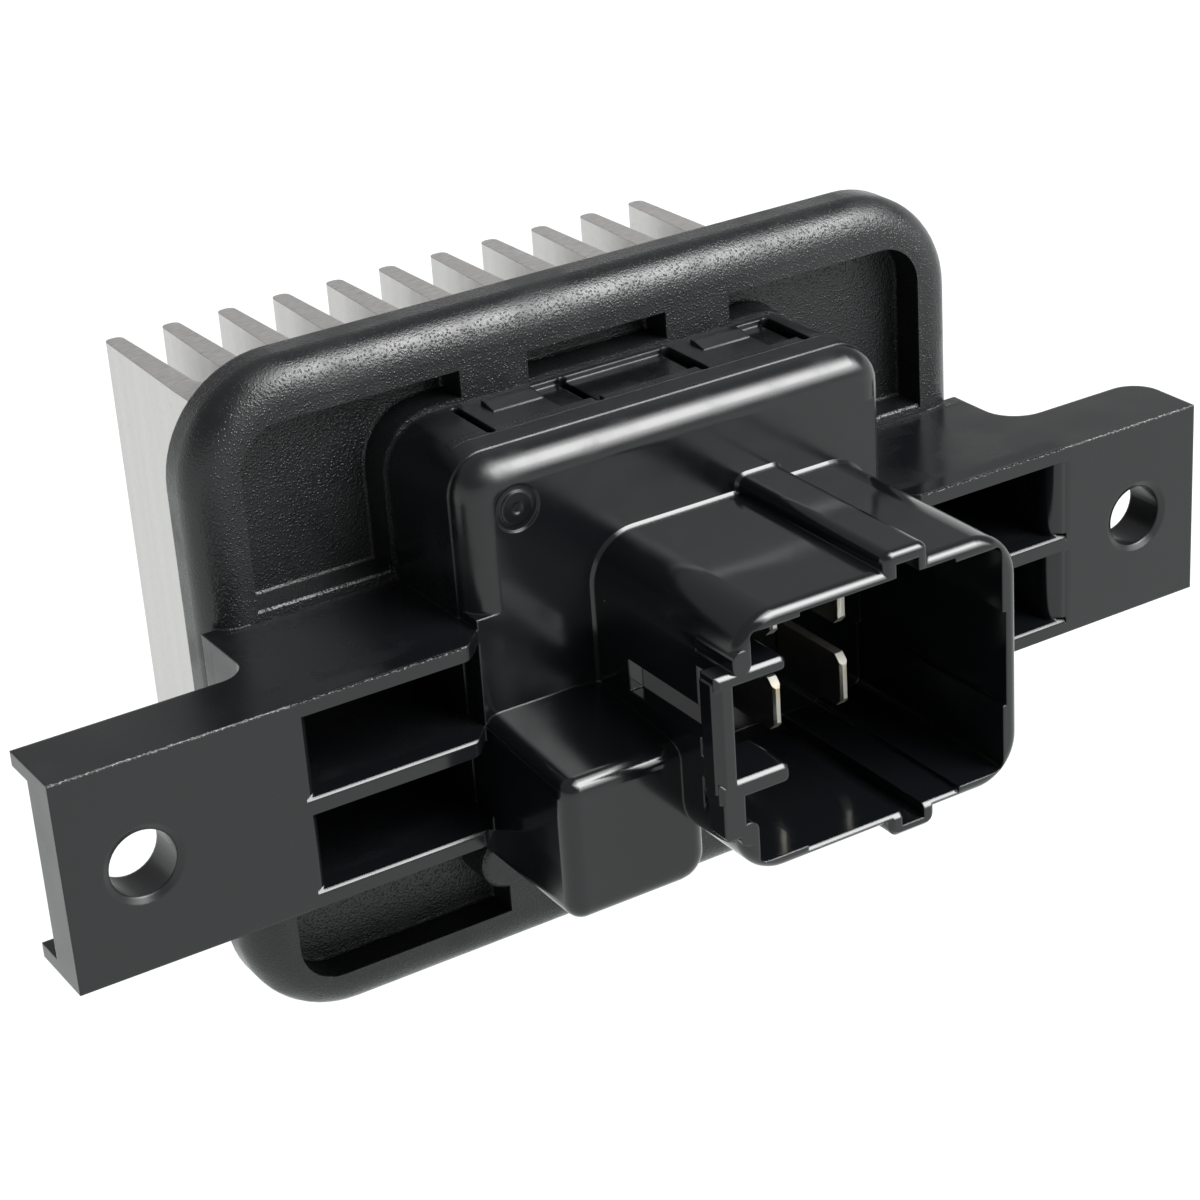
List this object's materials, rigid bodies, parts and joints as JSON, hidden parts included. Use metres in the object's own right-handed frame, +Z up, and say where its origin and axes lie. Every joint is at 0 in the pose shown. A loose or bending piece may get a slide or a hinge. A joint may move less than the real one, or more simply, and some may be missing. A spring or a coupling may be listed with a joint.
{
  "type": "blower motor resistor",
  "caption": "Blower motor resistor: black moulded box with two screw ears, a flange and a keyed plug shroud, with a finned heat sink behind.",
  "frame": {"origin": "midway between the two ear holes, on the front face of the ears", "axes": "+X along the ears, to the right seen from the plug side; +Y from the plug towards the fins; +Z up"},
  "size_m": [0.109, 0.056, 0.0588],
  "materials": {
    "black_abs": "gloss",
    "extruded_aluminium": "satin",
    "silicone": "matte",
    "tinned_brass": "satin",
    "board_green": "matte",
    "epoxy_black": "matte",
    "pad_grey": "matte",
    "zinc_steel": "satin",
    "can_sleeve": "gloss",
    "shunt_alloy": "satin",
    "ceramic": "matte",
    "solder": "satin"
  },
  "bodies": {
    "root": {"housing": "black_abs", "heat_sink": "extruded_aluminium", "bond_film": "silicone", "terminal_battery": "tinned_brass", "terminal_motor": "tinned_brass", "terminal_control": "tinned_brass", "terminal_ground": "tinned_brass", "circuit_board": "board_green", "power_transistor": "epoxy_black", "transistor_leads": "solder", "insulating_pad": "pad_grey", "transistor_screw": "zinc_steel", "spring_washer": "zinc_steel", "filter_capacitor": "can_sleeve", "shunt_resistor": "shunt_alloy", "control_chip": "epoxy_black", "flyback_diode": "epoxy_black", "chip_resistors": "epoxy_black", "chip_capacitors": "ceramic", "thermal_fuse": "zinc_steel", "solder_joints": "solder"}
  },
  "joints": []
}
